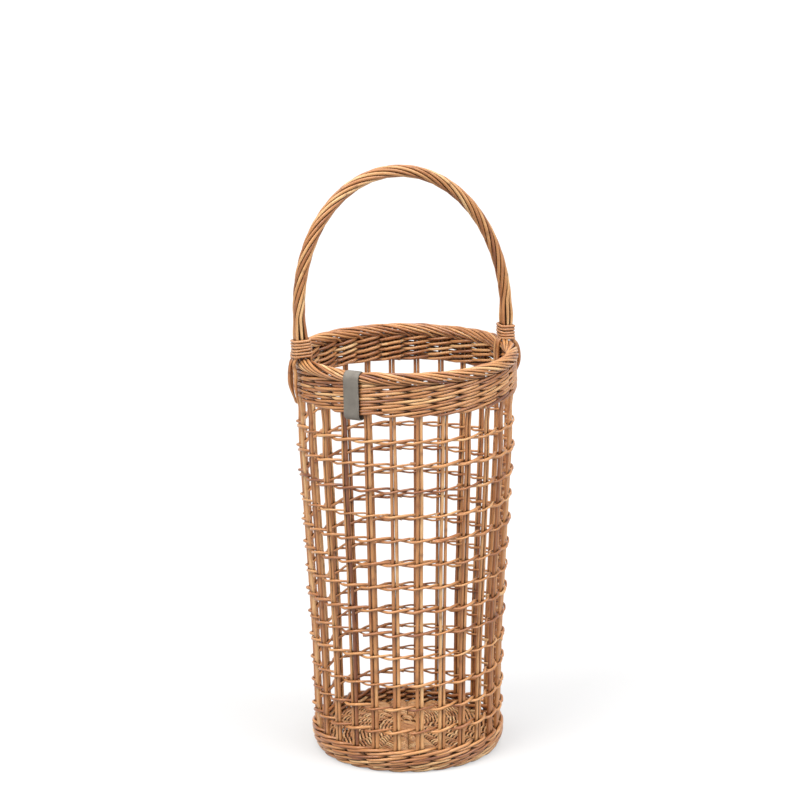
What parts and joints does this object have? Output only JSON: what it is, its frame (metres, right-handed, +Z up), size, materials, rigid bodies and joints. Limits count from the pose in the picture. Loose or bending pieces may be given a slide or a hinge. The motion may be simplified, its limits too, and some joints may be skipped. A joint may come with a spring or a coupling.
{
  "type": "wicker umbrella stand",
  "caption": "Tall open-work willow umbrella stand with twined rows, waled foot and top band, rope-like rod border, a fixed roped bow handle with lashed feet, and a plain leather strap.",
  "frame": {"origin": "centre of the foot, on the floor", "axes": "+Z up, -Y towards the front of the stand where the leather strap is left of the middle, +X to the right"},
  "size_m": [0.2844, 0.2816, 0.752],
  "materials": {
    "willow": "satin peeled willow, buffed brown",
    "willow_skein": "satin split willow",
    "leather": "matte grey leather, bare"
  },
  "bodies": {
    "root": {"stake_pair_01": "willow", "stake_pair_02": "willow", "stake_pair_03": "willow", "stake_pair_04": "willow", "stake_pair_05": "willow", "stake_pair_06": "willow", "stake_pair_07": "willow", "stake_pair_08": "willow", "stake_pair_09": "willow", "stake_pair_10": "willow", "stake_pair_11": "willow", "stake_pair_12": "willow", "stake_pair_13": "willow", "stake_pair_14": "willow", "stake_pair_15": "willow", "stake_pair_16": "willow", "stake_pair_17": "willow", "stake_pair_18": "willow", "stake_pair_19": "willow", "stake_pair_20": "willow", "stake_pair_21": "willow", "stake_pair_22": "willow", "stake_pair_23": "willow", "stake_pair_24": "willow", "stake_pair_25": "willow", "stake_pair_26": "willow", "fitching_row_01": "willow", "fitching_row_02": "willow", "fitching_row_03": "willow", "fitching_row_04": "willow", "fitching_row_05": "willow", "fitching_row_06": "willow", "fitching_row_07": "willow", "fitching_row_08": "willow", "fitching_row_09": "willow", "fitching_row_10": "willow", "fitching_row_11": "willow", "fitching_row_12": "willow", "fitching_row_13": "willow", "band_row_1": "willow", "band_row_2": "willow", "band_row_3": "willow", "band_row_4": "willow", "foot_row_lower": "willow", "foot_row_upper": "willow", "base_slath": "willow", "base_weave": "willow", "handle_core": "willow", "handle_rod_1": "willow", "handle_rod_2": "willow", "handle_rod_3": "willow", "handle_rod_4": "willow", "handle_rod_5": "willow", "handle_rod_6": "willow", "handle_rod_7": "willow", "handle_rod_8": "willow", "lashing_left": "willow_skein", "lashing_right": "willow_skein", "leather_strap": "leather"}
  },
  "joints": []
}
